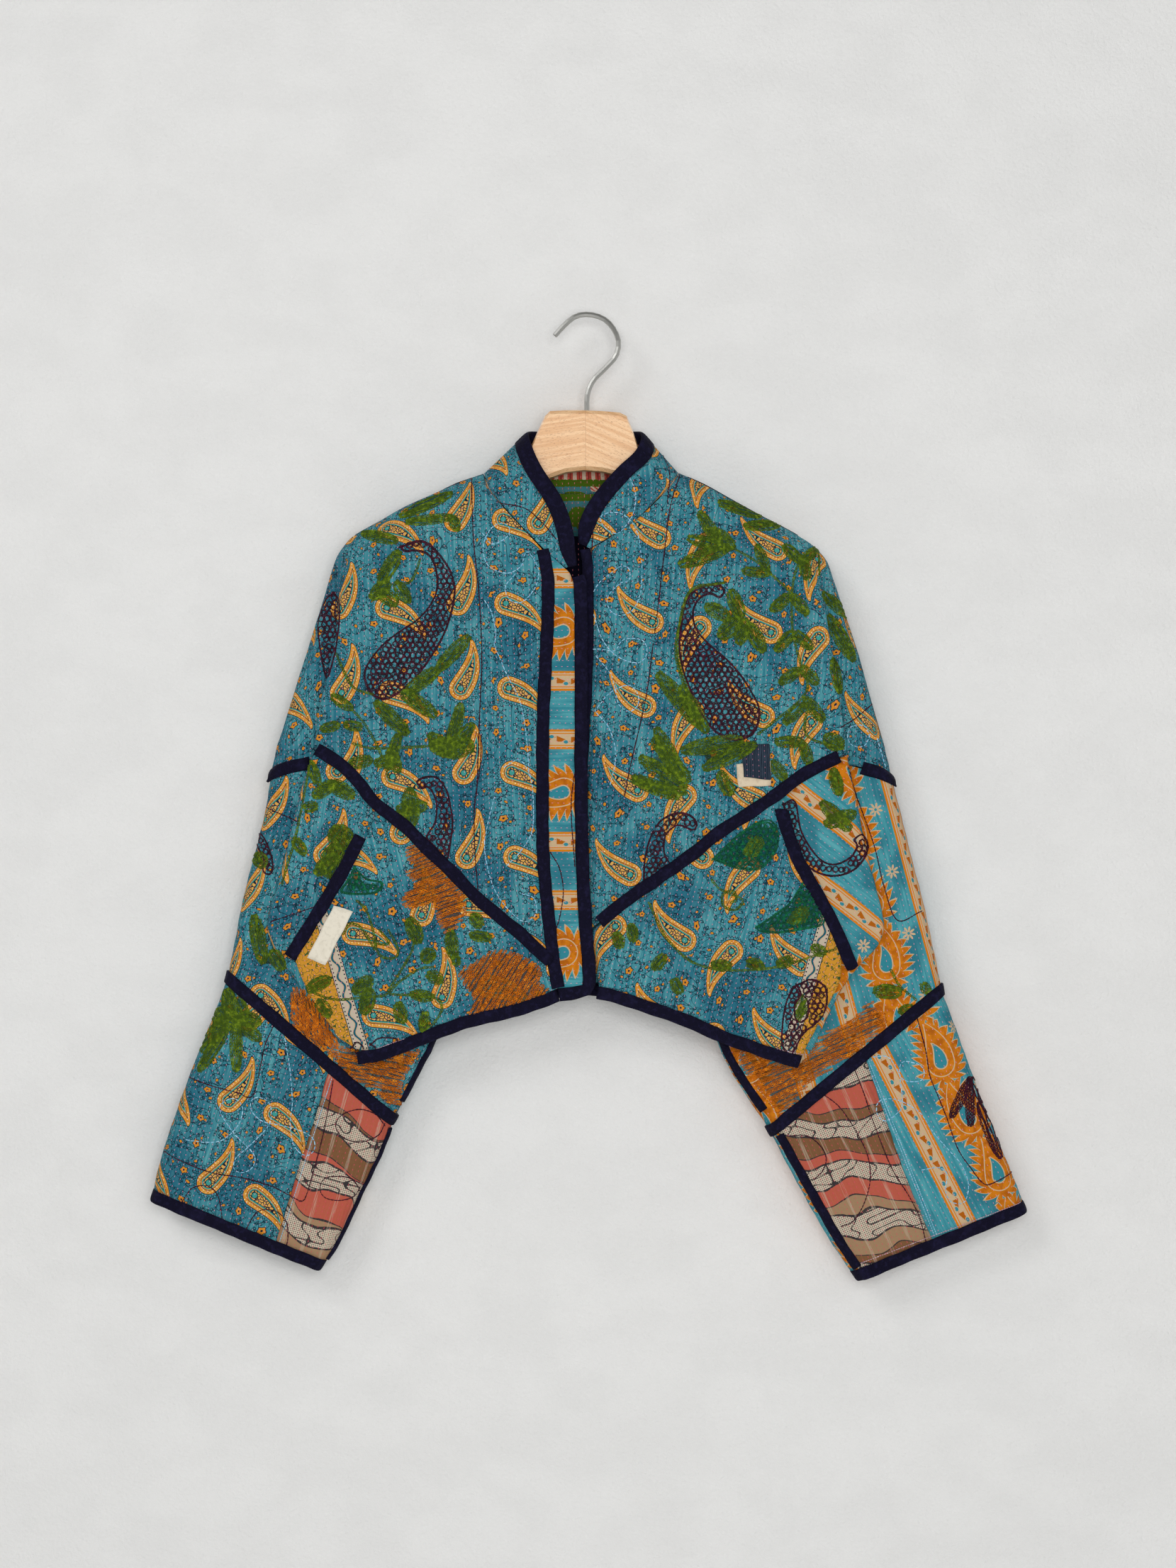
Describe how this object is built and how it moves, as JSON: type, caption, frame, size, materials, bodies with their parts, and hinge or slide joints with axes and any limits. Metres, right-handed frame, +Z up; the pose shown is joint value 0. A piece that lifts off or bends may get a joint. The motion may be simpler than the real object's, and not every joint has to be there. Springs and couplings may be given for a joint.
{
  "type": "kantha jacket on hanger",
  "caption": "Cropped patchwork kantha jacket with stand collar and wide sleeves, hanging on a wooden hanger with a wire hook.",
  "frame": {"origin": "inside top of the hanger's wire hook, where a nail or rail bears", "axes": "+Z up, the front of the jacket faces -Y, +X to the wearer's left"},
  "size_m": [0.743, 0.0561, 0.82],
  "materials": {
    "teal_print": "matt quilted cotton, teal block print",
    "flame_print": "matt quilted cotton, orange, cream and teal block print",
    "salmon_print": "matt quilted cotton, salmon and taupe print",
    "navy_binding": "matt navy cotton binding",
    "label_cream": "plain woven cream cotton",
    "beech_wood": "satin lacquered beech",
    "steel_wire": "satin steel wire"
  },
  "bodies": {
    "root": {"front_yoke_right": "teal_print", "front_yoke_left": "teal_print", "back_yoke": "teal_print", "pocket_panel_right": "teal_print", "pocket_panel_left": "teal_print", "side_panel_right": "teal_print", "back_lower": "teal_print", "collar": "teal_print", "sleeve_upper_right": "teal_print", "sleeve_cuff_right": "teal_print", "side_panel_left": "flame_print", "placket_strip": "flame_print", "sleeve_upper_left": "flame_print", "sleeve_cuff_left": "flame_print", "cuff_gore_right": "salmon_print", "cuff_gore_left": "salmon_print", "collar_binding": "navy_binding", "placket_binding_inner": "navy_binding", "placket_binding_front": "navy_binding", "underlap_binding": "navy_binding", "yoke_binding_right": "navy_binding", "yoke_binding_left": "navy_binding", "back_seam_binding": "navy_binding", "pocket_binding_right": "navy_binding", "pocket_binding_left": "navy_binding", "hem_binding_right": "navy_binding", "hem_binding_left": "navy_binding", "hem_binding_back": "navy_binding", "repair_patch_dark": "navy_binding", "elbow_binding_right": "navy_binding", "elbow_binding_left": "navy_binding", "cuff_binding_right": "navy_binding", "cuff_binding_left": "navy_binding", "underarm_binding_upper_right": "navy_binding", "underarm_binding_upper_left": "navy_binding", "underarm_binding_cuff_right": "navy_binding", "underarm_binding_cuff_left": "navy_binding", "armhole_binding_right": "navy_binding", "armhole_binding_left": "navy_binding", "shoulder_binding_right": "navy_binding", "shoulder_binding_left": "navy_binding", "repair_patch_cream": "label_cream", "label_tab": "label_cream", "hanger_body": "beech_wood", "hanger_hook": "steel_wire"}
  },
  "joints": []
}
